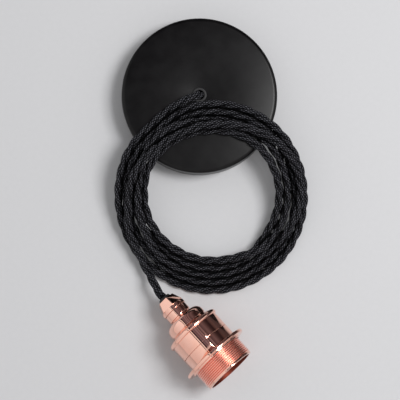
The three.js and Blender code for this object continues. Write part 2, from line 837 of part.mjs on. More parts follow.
// How far the flex is lifted at a point by the rose below it: the rose's full height over
// the cover, then a smooth slope down to the table
function drape(x, y) {
  const beyond = Math.hypot(x, y) - roseRadius - drapeLedge;
  const slope = THREE.MathUtils.clamp(beyond / drapeRun, 0, 1);
  return (roseHeight + clearance) * (1 + Math.cos(Math.PI * slope)) / 2;
}

function coil() {
  const halfWidth = (coilOuterRadius - coilInnerRadius) / 2;
  const halfHeight = coilHeight / 2;
  const middle = coilInnerRadius + halfWidth;
  const sectionPoints = 12;
  const section = [];
  for (let i = 0; i < sectionPoints; i += 1) {
    const angle = Math.PI * 2 * i / sectionPoints;
    section.push([middle + halfWidth * Math.cos(angle), halfHeight + halfHeight * Math.sin(angle)]);
  }
  const ring = revolve(section, largeSides).translate(coilCentreX, coilCentreY, 0);
  const position = ring.attributes.position;
  for (let i = 0; i < position.count; i += 1) {
    position.setZ(i, position.getZ(i) + drape(position.getX(i), position.getY(i)));
  }
  const grooveRoute = [...exitRoute, [...grooveEnd, exitFloor]];
  const exitGroove = sweep(grooveRoute, flexRadius + clearance, flexSides, 14);
  return cut(ring, exitGroove);
}

piece('flex_coil', coil(), 'braid');

export default group;
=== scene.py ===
# %% [markdown]
# # Pendant cord set
# A black steel ceiling rose, two metres of twisted braided flex and a copper E27 lampholder, laid
# out on a pale table and looked at from above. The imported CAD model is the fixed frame: each piece
# made here sits where the frame says, and the frame's own solids stay where their shape is right.

# %% Load the frame
import json
import math
import bmesh
import bpy
import numpy as np
from mathutils import Matrix, Vector


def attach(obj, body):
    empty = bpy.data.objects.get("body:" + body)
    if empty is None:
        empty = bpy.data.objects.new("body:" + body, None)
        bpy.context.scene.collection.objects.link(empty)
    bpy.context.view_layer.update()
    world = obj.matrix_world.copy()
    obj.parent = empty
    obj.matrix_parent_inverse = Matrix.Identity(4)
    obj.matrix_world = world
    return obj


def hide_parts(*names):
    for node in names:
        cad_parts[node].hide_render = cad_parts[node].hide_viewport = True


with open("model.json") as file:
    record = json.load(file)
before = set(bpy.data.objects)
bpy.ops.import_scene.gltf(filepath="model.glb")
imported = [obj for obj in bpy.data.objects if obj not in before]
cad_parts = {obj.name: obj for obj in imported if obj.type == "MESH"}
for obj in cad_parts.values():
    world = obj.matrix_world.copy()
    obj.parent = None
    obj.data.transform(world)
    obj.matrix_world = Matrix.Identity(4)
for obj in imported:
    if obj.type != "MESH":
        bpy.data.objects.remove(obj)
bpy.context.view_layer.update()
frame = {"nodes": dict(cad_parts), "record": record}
MM = 0.001
print("frame nodes:", len(frame["nodes"]))

# %% [markdown]
# ## Camera
# The picture is taken from almost straight above, one metre over the table, so a long lens is
# needed: 123 mm on a 36 mm sensor. The frame is turned about its Z axis against the picture, so the
# camera's own right-hand side is given as a direction in the frame.

# %% Camera
CAMERA_PLACE = Vector((-86.98, -94.45, 998.5)) * MM
CAMERA_TARGET = Vector((-50.07, -54.67, 0)) * MM
PICTURE_RIGHT = Vector((0.73313, -0.68009, 0))
FOCAL_PIXELS = 1370.1
PICTURE_PIXELS = 400

camera = bpy.data.objects.new("camera", bpy.data.cameras.new("camera"))
bpy.context.collection.objects.link(camera)
camera.data.sensor_width = 36
camera.data.lens = FOCAL_PIXELS / PICTURE_PIXELS * camera.data.sensor_width
camera.data.clip_start = 0.05
camera.data.clip_end = 20
back = (CAMERA_PLACE - CAMERA_TARGET).normalized()
up = back.cross(PICTURE_RIGHT).normalized()
right = up.cross(back)
camera_turn = Matrix((right, up, back)).transposed().to_4x4()
camera.matrix_world = Matrix.Translation(CAMERA_PLACE) @ camera_turn
bpy.context.scene.camera = camera
bpy.context.scene.view_settings.view_transform = "Standard"
print("lens in mm:", round(camera.data.lens, 1))

# %% [markdown]
# ## The flex's route
# A twisted flex is one long, springy thing. It leaves the rose through the bush, bends over on to
# the cover, goes five and a bit times round the coil and ends in the lampholder's grip. Where it
# isn't coiled, its points are listed one by one. In the coil, a short table says how far from the
# coil's centre each turn runs and on which layer it lies, and a function turns that into points.
# Past the cover's edge the coil leans down to the table along a smooth slope.

# %% Flex: where it runs
FLEX_DIAMETER = 6.3
FLEX_RADIUS = FLEX_DIAMETER / 2
ROSE_RADIUS = 56
ROSE_HEIGHT = 22
BUSH_TOP = 23.2
GAP = 0.3
EXIT_FLOOR = ROSE_HEIGHT + GAP + FLEX_RADIUS
EXIT_ROUTE = [
    (0, 0, BUSH_TOP + GAP), (-0.4, 0, BUSH_TOP + 3.2), (-2.6, 0.6, BUSH_TOP + 6.6),
    (-6.6, 1.8, BUSH_TOP + 8), (-12, 3.6, EXIT_FLOOR + 4.6), (-18, 5.2, EXIT_FLOOR + 2),
]
HOLDER_PLACE = Vector((-117.3, -91, 17.6241))
HOLDER_TILT = math.radians(8.4)
HOLDER_AXIS = Vector((0, -math.cos(HOLDER_TILT), math.sin(HOLDER_TILT)))
TAIL_ROUTE = [
    (-112.6, -65.6, 10.8), (-114.1, -71.6, 12.4), (-115.8, -78, 14.7),
    tuple(HOLDER_PLACE - 8 * HOLDER_AXIS), tuple(HOLDER_PLACE - 2.3 * HOLDER_AXIS),
]
COIL_CENTRE = (-42.6, -57.7)
LAYER_RISE = 5.45
LEANING_START = 3
LEANING_LENGTH = 80
CURVE_STEPS = 24

# Angle round the coil in degrees, distance from its centre in mm, layer above the surface
COIL_TURNS = [
    (74, 66.5, 0), (88, 64.6, 0), (103, 65.4, 0), (118, 65.6, 0), (137, 66, 0), (159, 66.5, 0),
    (173, 66.9, 0), (190, 67.1, 0), (207, 67.2, 0), (227, 67.3, 0), (250, 67.9, 0), (272, 68.3, 0),
    (294, 68.1, 0), (317, 67.3, 0), (340, 66.4, 0), (362, 65.7, 0), (400, 64.2, 0), (414, 63, 0),
    (428, 61.5, 0), (448, 58.8, 0), (463, 59.8, 0), (478, 60.1, 0), (497, 60.5, 0), (519, 60.4, 0),
    (535, 59.7, 0), (552, 60, 0), (570, 61, 0), (587, 61.5, 0), (610, 61.9, 0), (632, 62.2, 0),
    (677, 61.8, 0), (722, 60.6, 0), (767, 59, 0), (790, 56, 0), (808, 52.8, 0), (823, 53.9, 0),
    (838, 54.3, 0), (857, 54.2, 0), (880, 53.6, 0), (902, 53.2, 0), (925, 53.5, 0), (947, 54.4, 0),
    (970, 53.4, 0), (992, 51, 0), (1015, 49.4, 0), (1037, 49.5, 0), (1060, 48.8, 0),
    (1082, 48.3, 0), (1127, 46, 0), (1168, 47.2, 0), (1198, 48.3, 0), (1217, 48, 0),
    (1240, 47.5, 0), (1262, 47.1, 0), (1285, 47.3, 0), (1307, 47.9, 0), (1330, 48.8, 0.8),
    (1352, 52.2, 1), (1374, 54.4, 0.6), (1397, 55.2, 0), (1420, 55.3, 0), (1442, 54.9, 0),
    (1487, 53, 0), (1508, 54.2, 0.5), (1528, 55.3, 1), (1557, 53.2, 1), (1577, 52, 1),
    (1600, 52.8, 1.2), (1622, 55, 1.2), (1645, 57.2, 1), (1667, 58, 1), (1690, 57.5, 1),
    (1712, 58.5, 1), (1735, 61.6, 1), (1757, 64.2, 1), (1777, 63.4, 1), (1792, 60.5, 1.2),
    (1818, 53.5, 1.2), (1843, 50, 1), (1871, 47.9, 1), (1889, 49.3, 1), (1909, 52.6, 2),
    (1930, 56.6, 1.6), (1941, 57.9, 1), (1954, 61.3, 1.3), (1967, 64.7, 1.3), (1978, 67.2, 1.2),
]


def lifted_by_rose(x, y):
    """Height of the ground under the flex: the cover's face, then a smooth slope to the table."""
    slope = np.clip((np.hypot(x, y) - ROSE_RADIUS - LEANING_START) / LEANING_LENGTH, 0, 1)
    return (ROSE_HEIGHT + GAP) * (1 + np.cos(np.pi * slope)) / 2


def smooth_line(points, spacing):
    """Points at an even spacing along a Catmull-Rom curve through the given ones."""
    knots = np.array(points, float)
    knots = np.vstack([2 * knots[0] - knots[1], knots, 2 * knots[-1] - knots[-2]])
    dense = []
    for a, b, c, d in zip(knots, knots[1:], knots[2:], knots[3:]):
        for t in np.linspace(0, 1, CURVE_STEPS, endpoint=False):
            dense.append(0.5 * (2 * b + (c - a) * t + (2 * a - 5 * b + 4 * c - d) * t ** 2
                                + (3 * b - a - 3 * c + d) * t ** 3))
    dense = np.array(dense + [knots[-2]])
    along = np.concatenate([[0], np.cumsum(np.linalg.norm(np.diff(dense, axis=0), axis=1))])
    even = np.linspace(0, along[-1], int(round(along[-1] / spacing)) + 1)
    return np.column_stack([np.interp(even, along, dense[:, k]) for k in range(3)])


def coil_points(step_degrees=15):
    """The coil's turns: the table read at even steps, 24 points a turn."""
    degrees, radii, layers = np.array(COIL_TURNS).T
    at = np.arange(degrees[0], degrees[-1], step_degrees)
    radius, layer = np.interp(at, degrees, radii), np.interp(at, degrees, layers)
    x = COIL_CENTRE[0] + radius * np.cos(np.radians(at))
    y = COIL_CENTRE[1] + radius * np.sin(np.radians(at))
    z = lifted_by_rose(x, y) + FLEX_RADIUS + layer * LAYER_RISE
    return list(zip(x, y, z))


ROUTE_SPACING = 2.0
route = smooth_line(EXIT_ROUTE + coil_points() + TAIL_ROUTE, ROUTE_SPACING)
print("route points:", len(route), "length in mm:", round(ROUTE_SPACING * (len(route) - 1)))

# %% [markdown]
# ## Letting the flex settle
# The route is only a plan: where two turns are planned too close they would cut into each other.
# A short simulation settles them as a real flex settles: every point is pulled down a little,
# pushed apart from the other turns until they nearly have a flex's thickness between their middles
# (soft cores give way a little), drawn back to the plan seen from above, held up by the cover and
# the table, and kept smooth, because a flex is stiff. It has no random numbers in it.

# %% Flex: settle
TOUCHING = 5.6
NEAR = 9.0
NEIGHBOURS = 6
PAIRS_EVERY = 15
ENDS_HELD = 8
STIFF_REACH = 5
STIFFNESS = 0.25
BACK_TO_PLAN = 0.05
PUSH_APART = 0.35
PULL_DOWN = 0.05
LAST_PULL = 0.01
LAST_STEPS = 80


def close_pairs(points):
    """Pairs of points that are near in space but not neighbours along the flex."""
    gap = np.linalg.norm(points[:, None] - points[None], axis=2)
    first, second = np.nonzero(np.triu(gap < NEAR, k=NEIGHBOURS))
    return first, second


def settled(plan, steps, pull_down):
    """The plan after the given number of small steps of pulling, pushing and smoothing."""
    points = plan.copy()
    held = np.ones(len(plan))
    held[:ENDS_HELD] = 0
    held[-ENDS_HELD:] = 0
    kernel = np.ones(2 * STIFF_REACH + 1) / (2 * STIFF_REACH + 1)
    for step in range(steps):
        if step % PAIRS_EVERY == 0:
            first, second = close_pairs(points)
        points[:, 2] -= pull_down * held
        points[:, :2] += BACK_TO_PLAN * (plan[:, :2] - points[:, :2])
        apart = points[first] - points[second]
        gap = np.maximum(np.linalg.norm(apart, axis=1), 1e-6)
        push = np.clip(TOUCHING - gap, 0, None) / gap * PUSH_APART
        move, count = np.zeros_like(points), np.zeros(len(points))
        for index, sign in ((first, 0.5), (second, -0.5)):
            np.add.at(move, index, sign * push[:, None] * apart)
            np.add.at(count, index, push > 0)
        shared = move / np.maximum(count, 1)[:, None] * np.minimum(count, 2)[:, None]
        points += shared * held[:, None]
        bend = points - plan
        soft = np.column_stack([
            np.convolve(np.pad(bend[:, k], STIFF_REACH, "edge"), kernel, "valid")
            for k in range(3)
        ])
        points += STIFFNESS * (soft - bend) * held[:, None]
        ground = lifted_by_rose(points[:, 0], points[:, 1]) + FLEX_RADIUS
        points[:, 2] = np.maximum(points[:, 2], ground * held + points[:, 2] * (1 - held))
    return points


first_steps = 420
flex_line = settled(settled(route, first_steps, PULL_DOWN), LAST_STEPS, LAST_PULL)
first, second = close_pairs(flex_line)
closest = np.linalg.norm(flex_line[first] - flex_line[second], axis=1)
print("closest turns in mm:", np.round(np.percentile(closest, [0, 1, 5]), 2),
      "highest point in mm:", round(flex_line[:, 2].max(), 1))

# %% [markdown]
# ## The three cores
# Each core is a wire in a braided sleeve, and the three lie round each other like a rope's strands.
# A helix round the flex's line gives each core's own line, and a bevelled curve gives it its round
# section. The curve's mesh has a UV map, along and around, which the braid follows, and an
# attribute says how open to the light each point lies: little in the grooves between the cores
# and between the turns, fully on the crowns. The braid's colour is painted darker where a point
# is little open, as painted shade.

# %% Flex: cores
CORE_RADIUS = 1.46
CORE_CIRCLE = FLEX_RADIUS - CORE_RADIUS
LAY_PITCH = 36.0
CORE_STEP = 1.1
LINE_POINTS_KEPT = 3
GROOVE_REACH = 1.9
APART = 15
CROWD_NEAR = 3.3
CROWD_CLEAR = 4.8
ENDS_OPENNESS = 0.5
CORE_START_DEGREES = (210, 90, 330)


def carried_frames(line):
    """A side direction at each point of a line, carried along it without any twist."""
    ahead = np.gradient(line, axis=0)
    ahead /= np.linalg.norm(ahead, axis=1)[:, None]
    side = np.array([1.0, 0, 0]) - ahead[0] * ahead[0][0]
    sides = []
    for direction in ahead:
        side = side - direction * side.dot(direction)
        side /= np.linalg.norm(side)
        sides.append(side)
    sides = np.array(sides)
    return sides, np.cross(ahead, sides)


def core_mesh(name, line):
    """A round core along a line: a poly curve with a bevel, turned into a mesh."""
    curve = bpy.data.curves.new(name, "CURVE")
    curve.dimensions = "3D"
    curve.bevel_depth = CORE_RADIUS * MM
    curve.bevel_resolution = 3
    curve.use_fill_caps = True
    spline = curve.splines.new("POLY")
    spline.points.add(len(line) - 1)
    spline.points.foreach_set("co", np.column_stack([line * MM, np.ones(len(line))]).ravel())
    holder = bpy.data.objects.new(name, curve)
    bpy.context.collection.objects.link(holder)
    depsgraph = bpy.context.evaluated_depsgraph_get()
    mesh = bpy.data.meshes.new_from_object(holder.evaluated_get(depsgraph))
    bpy.data.objects.remove(holder)
    return mesh


def openness(mesh, line):
    """0 in the grooves between the cores and between the turns to 1 on the crowns, for each point.
    The core's mesh has one ring of points for each point of the line, and then its two ends."""
    places = np.zeros(len(mesh.vertices) * 3)
    mesh.vertices.foreach_get("co", places)
    around = len(mesh.vertices) // len(line)
    rings = places.reshape(-1, 3)[:around * len(line)].reshape(len(line), around, 3) / MM
    reach = np.linalg.norm(rings - line[:, None], axis=2)
    crown = np.clip((reach - GROOVE_REACH) / (FLEX_RADIUS - GROOVE_REACH), 0, 1)
    between = np.ones_like(crown)
    apart = int(APART / CORE_STEP)
    for k, ring in enumerate(rings):
        others = np.concatenate([line[:max(k - apart, 0)], line[k + apart:]])
        others = others[np.linalg.norm(others - line[k], axis=1) < FLEX_RADIUS + CROWD_CLEAR]
        if len(others):
            near = np.linalg.norm(ring[:, None] - others[None], axis=2).min(axis=1)
            between[k] = np.clip((near - CROWD_NEAR) / (CROWD_CLEAR - CROWD_NEAR), 0, 1)
    exposed = (crown * between).ravel()
    return np.concatenate([exposed, np.full(len(mesh.vertices) - len(exposed), ENDS_OPENNESS)])


kept_points = flex_line[::LINE_POINTS_KEPT].tolist() + [flex_line[-1].tolist()]
flex_path = smooth_line(kept_points, CORE_STEP)
flex_length = np.linalg.norm(np.diff(flex_path, axis=0), axis=1).sum()
sides, lifts = carried_frames(flex_path)
travelled = np.linspace(0, flex_length, len(flex_path))
joined = bmesh.new()
exposure = []
for start in CORE_START_DEGREES:
    turn = math.radians(start) - travelled / LAY_PITCH * 2 * math.pi
    offset = np.cos(turn)[:, None] * sides + np.sin(turn)[:, None] * lifts
    mesh = core_mesh("core", flex_path + CORE_CIRCLE * offset)
    exposure.append(openness(mesh, flex_path))
    joined.from_mesh(mesh)
    bpy.data.meshes.remove(mesh)
for face in joined.faces:
    face.smooth = True
flex_mesh = bpy.data.meshes.new("twisted_flex")
joined.to_mesh(flex_mesh)
joined.free()
openness_values = flex_mesh.attributes.new("openness", "FLOAT", "POINT").data
openness_values.foreach_set("value", np.concatenate(exposure))
twisted_flex = bpy.data.objects.new("twisted_flex", flex_mesh)
bpy.context.collection.objects.link(twisted_flex)
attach(twisted_flex, "root")
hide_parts("flex_exit", "flex_coil", "flex_tail")
print("flex length in mm:", round(flex_length), "faces:", len(flex_mesh.polygons),
      "uv maps:", [layer.name for layer in flex_mesh.uv_layers])

# %% [markdown]
# ## Helpers for the finishes
# Colours are written as the hex values that a picture shows, and one function turns them into the
# linear values that Blender works with. One more function adds a node with its settings and links.

# %% Helpers for the finishes
def linear(hex_colour):
    """A hex colour such as 'c8c8ca' as linear red, green, blue and full alpha."""
    parts = [int(hex_colour[k:k + 2], 16) / 255 for k in (0, 2, 4)]
    return tuple(p / 12.92 if p <= 0.04045 else ((p + 0.055) / 1.055) ** 2.4 for p in parts) + (1,)


def add(tree, kind, inputs=None, **settings):
    """A node of a kind, with its settings made and its inputs set or linked."""
    node = tree.nodes.new(kind)
    for name, value in settings.items():
        setattr(node, name, value)
    for socket, value in (inputs or {}).items():
        if isinstance(value, bpy.types.NodeSocket):
            tree.links.new(value, node.inputs[socket])
        else:
            node.inputs[socket].default_value = value
    return node


def new_material(name):
    """An empty material with its shader, ready for nodes."""
    material = bpy.data.materials.new(name)
    material.use_nodes = True
    shader = material.node_tree.nodes["Principled BSDF"]
    return material, material.node_tree, shader


def dress(piece, material):
    """Puts one material on a piece."""
    piece.data.materials.clear()
    piece.data.materials.append(material)


# %% [markdown]
# ## Table
# The table is a plain pale grey card. Mirrored rays alone see it dark past the coil's middle, as
# the unlit side of a studio would be, which gives the copper its dark bands. Round the rose even
# they see it pale, so the rose's wall mirrors a pale table.

# %% Table
TABLE_HALF = 3.0
TABLE_DROP = 0.05
DARK_FROM = -0.07
DARK_FULL = -0.03
PALE_ROUND_ROSE = 0.08
PALE_ENDS = 0.095
table_mesh = bpy.data.meshes.new("table")
table_form = bmesh.new()
bmesh.ops.create_grid(table_form, x_segments=1, y_segments=1, size=TABLE_HALF)
table_form.to_mesh(table_mesh)
table_form.free()
table = bpy.data.objects.new("table", table_mesh)
bpy.context.collection.objects.link(table)
table.location.z = -TABLE_DROP * MM
table_paint, tree, shader = new_material("pale_grey_card")
rays = add(tree, "ShaderNodeLightPath")
place = add(tree, "ShaderNodeTexCoord")
fibre = add(tree, "ShaderNodeTexNoise",
            {"Vector": place.outputs["Object"], "Scale": 300.0, "Detail": 4.0})
card = add(tree, "ShaderNodeValToRGB", {"Fac": fibre.outputs["Fac"]})
card.color_ramp.elements[0].color = linear("cdcdcf")
card.color_ramp.elements[1].color = linear("d1d1d3")
side = add(tree, "ShaderNodeSeparateXYZ", {"Vector": place.outputs["Object"]})
far = add(tree, "ShaderNodeMapRange",
          {"Value": side.outputs["X"], "From Min": DARK_FROM, "From Max": DARK_FULL})
from_rose = add(tree, "ShaderNodeVectorMath", {0: place.outputs["Object"]}, operation="LENGTH")
clear = add(tree, "ShaderNodeMapRange", {"Value": from_rose.outputs["Value"],
                                         "From Min": PALE_ROUND_ROSE, "From Max": PALE_ENDS})
far = add(tree, "ShaderNodeMath", {0: far.outputs["Result"], 1: clear.outputs["Result"]},
          operation="MULTIPLY")
far = add(tree, "ShaderNodeMath", {0: far.outputs[0], 1: rays.outputs["Is Glossy Ray"]},
          operation="MULTIPLY")
shade = add(tree, "ShaderNodeMix",
            {0: far.outputs[0], 6: card.outputs["Color"], 7: linear("3a3032")}, data_type="RGBA")
tree.links.new(shade.outputs[2], shader.inputs["Base Color"])
shader.inputs["Roughness"].default_value = 0.9
shader.inputs["Specular IOR Level"].default_value = 0.2
dress(table, table_paint)

# %% [markdown]
# ## Light
# A large soft lamp up on the right throws the soft shadows to the left, and a small weak one puts
# the sheen on the cover. The world has three parts: an even glow that lights everything, a pale
# backdrop for the camera, and bands across the sky that only mirrored rays see. The bands stand
# for a studio's lamps, edges and gaps, which a mirror needs to look like metal. One of them, the
# window, is brighter than white.

# %% Lamps and world
def area_lamp(name, azimuth, elevation, distance, size, watts):
    """A soft square lamp aimed at the coil's middle, by the direction that it stands in."""
    lamp = bpy.data.objects.new(name, bpy.data.lights.new(name, "AREA"))
    bpy.context.collection.objects.link(lamp)
    lamp.data.shape = "SQUARE"
    lamp.data.size = size
    lamp.data.energy = watts
    flat, tall = math.cos(math.radians(elevation)), math.sin(math.radians(elevation))
    towards = Vector((flat * math.cos(math.radians(azimuth)),
                      flat * math.sin(math.radians(azimuth)), tall))
    lamp.location = CAMERA_TARGET + towards * distance
    lamp.rotation_mode = "QUATERNION"
    lamp.rotation_quaternion = towards.to_track_quat("Z", "Y")


area_lamp("key_lamp", azimuth=-30, elevation=60, distance=2.0, size=0.73, watts=21.8)
area_lamp("sheen_lamp", azimuth=-20, elevation=70, distance=0.7, size=0.14, watts=0.62)

world = bpy.data.worlds.new("studio")
bpy.context.scene.world = world
world.use_nodes = True
tree = world.node_tree
tree.nodes.clear()
direction = add(tree, "ShaderNodeTexCoord")
room = add(tree, "ShaderNodeBackground", {"Color": linear("ffffff"), "Strength": 0.48})
backdrop = add(tree, "ShaderNodeBackground", {"Color": linear("d8d8da"), "Strength": 1.0})
rays = add(tree, "ShaderNodeLightPath")
split = add(tree, "ShaderNodeSeparateXYZ", {"Vector": direction.outputs["Generated"]})
across = add(tree, "ShaderNodeMapRange",
             {"Value": split.outputs["X"], "From Min": -1, "From Max": 1})
sky = add(tree, "ShaderNodeValToRGB", {"Fac": across.outputs["Result"]})

# Place across the sky, from 0 at -X to 1 at +X, and colour
SKY_BANDS = [
    (0.0, "dcd6d6"), (0.2, "f4f2f2"), (0.365, "ffffff"), (0.372, "2a2222"), (0.39, "2a2222"),
    (0.397, "ffffff"), (0.425, "ffffff"), (0.43, "241e20"), (0.47, "3c343a"), (0.50, "847880"),
    (0.53, "5a5058"), (0.58, "8c828a"), (0.64, "5c5058"), (0.66, "a89ca0"), (0.675, "443a3e"),
    (0.73, "74686e"), (0.75, "8c8084"), (0.77, "4c4246"), (0.86, "6a5e62"), (0.94, "3c3234"),
    (0.975, "282022"), (1.0, "5a4e4e"),
]
WINDOW_EDGES = [(0.635, "000000"), (0.655, "ffffff"), (0.7, "ffffff"), (0.73, "000000")]
WINDOW_GLOW = 1.5
for position, colour in SKY_BANDS[1:-1]:
    sky.color_ramp.elements.new(position).color = linear(colour)
sky.color_ramp.elements[0].color = linear(SKY_BANDS[0][1])
sky.color_ramp.elements[-1].color = linear(SKY_BANDS[-1][1])
ends = add(tree, "ShaderNodeMapRange",
           {"Value": split.outputs["Y"], "From Min": -0.08, "From Max": -0.3})
overhead = add(tree, "ShaderNodeMix", {0: ends.outputs["Result"], 6: sky.outputs["Color"],
                                       7: linear("e8e4e4")}, data_type="RGBA")
window = add(tree, "ShaderNodeValToRGB", {"Fac": across.outputs["Result"]})
for position, colour in WINDOW_EDGES[:-1]:
    window.color_ramp.elements.new(position).color = linear(colour)
window.color_ramp.elements[0].color = linear(WINDOW_EDGES[0][1])
window.color_ramp.elements[-1].color = linear(WINDOW_EDGES[-1][1])
window.color_ramp.elements[-1].position = WINDOW_EDGES[-1][0]
glow = add(tree, "ShaderNodeMath", {0: window.outputs["Color"], 1: ends.outputs["Result"]},
           operation="MULTIPLY")
glow = add(tree, "ShaderNodeMath", {0: glow.outputs[0], 1: WINDOW_GLOW, 2: 1.0},
           operation="MULTIPLY_ADD")
mirrored = add(tree, "ShaderNodeBackground",
               {"Color": overhead.outputs[2], "Strength": glow.outputs[0]})
seen = add(tree, "ShaderNodeMixShader",
           {0: rays.outputs["Is Glossy Ray"], 1: room.outputs[0], 2: mirrored.outputs[0]})
seen = add(tree, "ShaderNodeMixShader",
           {0: rays.outputs["Is Camera Ray"], 1: seen.outputs[0], 2: backdrop.outputs[0]})
add(tree, "ShaderNodeOutputWorld", {"Surface": seen.outputs[0]})

# %% [markdown]
# ## Braided sleeve
# Each core wears a sleeve of fine dyed polyester yarns, braided on a machine: two sets of yarns run
# round it in opposite directions, one over one. The sleeve is near black, and small grey glints
# where a yarn catches the light are painted highlights in its colour, on the yarns' crowns; in the
# grooves between the cores and between the turns its colour is painted darker, as painted shade. The
# pattern follows the core's own UV map: U along, V around. A real yarn is about 0.5 mm wide, and it
# is drawn at about 0.9 mm, so that it shows. A core is 5% longer than the flex that it winds along,
# and its U runs from 0 to 1 over the whole of it.

# %% Braided sleeve
YARN_PAIRS_AROUND = 5
BRAID_REPEAT = 3.4
CORE_PER_FLEX = 1.05
braid, tree, shader = new_material("braided_polyester_sleeve")
uv = add(tree, "ShaderNodeUVMap", uv_map=flex_mesh.uv_layers[0].name)
along = add(tree, "ShaderNodeSeparateXYZ", {"Vector": uv.outputs["UV"]})
repeats = flex_length * CORE_PER_FLEX / BRAID_REPEAT
length_turns = add(tree, "ShaderNodeMath", {0: along.outputs["X"], 1: repeats},
                   operation="MULTIPLY")
round_turns = add(tree, "ShaderNodeMath", {0: along.outputs["Y"], 1: YARN_PAIRS_AROUND},
                  operation="MULTIPLY")
ways = []
for sign in ("ADD", "SUBTRACT"):
    lean = add(tree, "ShaderNodeMath", {0: length_turns.outputs[0], 1: round_turns.outputs[0]},
               operation=sign)
    ripple = add(tree, "ShaderNodeMath", {0: lean.outputs[0], 1: math.pi}, operation="MULTIPLY")
    ripple = add(tree, "ShaderNodeMath", {0: ripple.outputs[0]}, operation="SINE")
    ways.append(add(tree, "ShaderNodeMath", {0: ripple.outputs[0]}, operation="ABSOLUTE"))
crown = add(tree, "ShaderNodeMath", {0: ways[0].outputs[0], 1: ways[1].outputs[0]},
            operation="MULTIPLY")
place = add(tree, "ShaderNodeTexCoord")
glint_noise = add(tree, "ShaderNodeTexNoise",
            {"Vector": place.outputs["Object"], "Scale": 1300.0, "Detail": 1.0})
# Points that lie little open to the light are painted darker: painted shade in the grooves and
# between the turns.
openness_of_point = add(tree, "ShaderNodeAttribute", attribute_name="openness")
light = add(tree, "ShaderNodeMath", {0: crown.outputs[0], 1: glint_noise.outputs["Fac"]},
            operation="MULTIPLY")
light = add(tree, "ShaderNodeMath", {0: light.outputs[0], 1: openness_of_point.outputs["Fac"]},
            operation="MULTIPLY")
# Black where shade is painted, grey where a glint is painted on a yarn's crown.
tone = add(tree, "ShaderNodeValToRGB", {"Fac": light.outputs[0]})
tone.color_ramp.elements[0].position = 0.16
tone.color_ramp.elements[0].color = linear("020203")
tone.color_ramp.elements[1].position = 0.5
tone.color_ramp.elements[1].color = linear("5a5a60")
bump = add(tree, "ShaderNodeBump",
           {"Height": crown.outputs[0], "Distance": 0.0003, "Strength": 1.0})
tree.links.new(tone.outputs["Color"], shader.inputs["Base Color"])
tree.links.new(bump.outputs["Normal"], shader.inputs["Normal"])
shader.inputs["Roughness"].default_value = 0.6
shader.inputs["Specular IOR Level"].default_value = 0.06
dress(twisted_flex, braid)

# %% [markdown]
# ## Turned and spun pieces
# Nearly everything else is round, and its maker spun or turned it, so the script does the same: a
# half section is drawn as a wire of points and the spin operator turns it about an axis. A bevel on
# a few of its points gives the rounded edges before it is spun. A thread is one pitch of its wave,
# spun with a rise, repeated and cut off square, and its open ends are then joined to the rest.

# %% Turned pieces: helpers
HOLDER_MATRIX = (Matrix.Translation(HOLDER_PLACE * MM)
                 @ Matrix.Rotation(math.pi / 2 - HOLDER_TILT, 4, "X"))
SAME_POINT = 1e-6
LOOP_REACH = 0.45


def spun(form, section, steps=128, rounded=None, closed=True):
    """Spins a half section of (radius, height) in mm about Z inside a form.
    rounded gives the radius of the rounding at some of the section's points. A section that isn't
    closed leaves its two ends open."""
    wire = bmesh.new()
    corners = [wire.verts.new((radius * MM, 0, height * MM)) for radius, height in section]
    for a, b in zip(corners, corners[1:] + corners[:closed]):
        wire.edges.new((a, b))
    for corner, radius in (rounded or {}).items():
        bmesh.ops.bevel(wire, geom=[corners[corner]], offset=radius * MM, offset_type="OFFSET",
                        segments=5, profile=0.5, affect="VERTICES", material=-1)
    bmesh.ops.spin(wire, geom=list(wire.verts) + list(wire.edges), cent=(0, 0, 0), axis=(0, 0, 1),
                   angle=2 * math.pi, steps=steps, use_merge=True, use_duplicate=False)
    bmesh.ops.remove_doubles(wire, verts=wire.verts, dist=SAME_POINT)
    merge_in(form, wire)


def merge_in(form, piece):
    """Adds one form to another and frees it."""
    mesh = bpy.data.meshes.new("merging")
    piece.to_mesh(mesh)
    piece.free()
    form.from_mesh(mesh)
    bpy.data.meshes.remove(mesh)


def helix(form, profile, pitch, start, end, steps=96):
    """A helical skin inside a form: one pitch of a profile of (radius, height) in mm, spun and
    raised turn after turn, then cut off square at its start and end."""
    turns = math.ceil((end - start) / pitch) + 2
    bottom = start - pitch * 1.5
    skin = bmesh.new()
    corners = [skin.verts.new((radius * MM, 0, (bottom + height) * MM))
               for radius, height in profile]
    for a, b in zip(corners, corners[1:]):
        skin.edges.new((a, b))
    bmesh.ops.spin(skin, geom=list(skin.verts) + list(skin.edges), cent=(0, 0, 0), axis=(0, 0, 1),
                   angle=2 * math.pi, steps=steps, dvec=(0, 0, pitch / steps * MM),
                   use_merge=False, use_duplicate=False)
    one_turn = list(skin.verts) + list(skin.edges) + list(skin.faces)
    for turn in range(1, turns):
        copied = bmesh.ops.duplicate(skin, geom=one_turn)["geom"]
        bmesh.ops.translate(skin, vec=(0, 0, pitch * turn * MM),
                            verts=[item for item in copied if isinstance(item, bmesh.types.BMVert)])
    bmesh.ops.remove_doubles(skin, verts=skin.verts, dist=SAME_POINT)
    for height, away in ((start, -1), (end, 1)):
        everything = list(skin.verts) + list(skin.edges) + list(skin.faces)
        bmesh.ops.bisect_plane(skin, geom=everything, dist=1e-7, plane_co=(0, 0, height * MM),
                               plane_no=(0, 0, away), clear_outer=True)
    merge_in(form, skin)


def open_edges(form, height):
    """The form's open edges near a height in mm."""
    return [e for e in form.edges if len(e.link_faces) == 1
            and all(abs(v.co.z / MM - height) < LOOP_REACH for v in e.verts)]


def bridged(form, *heights):
    """Joins the two open loops near each height with faces."""
    for height in heights:
        bmesh.ops.bridge_loops(form, edges=open_edges(form, height))
    bmesh.ops.recalc_face_normals(form, faces=form.faces)


def turned(name, section, matrix=Matrix.Identity(4), steps=128, rounded=None):
    """A closed half section spun about Z and put in its place."""
    form = bmesh.new()
    spun(form, section, steps, rounded)
    bmesh.ops.recalc_face_normals(form, faces=form.faces)
    bmesh.ops.transform(form, matrix=matrix, verts=form.verts)
    return finished(name, form)


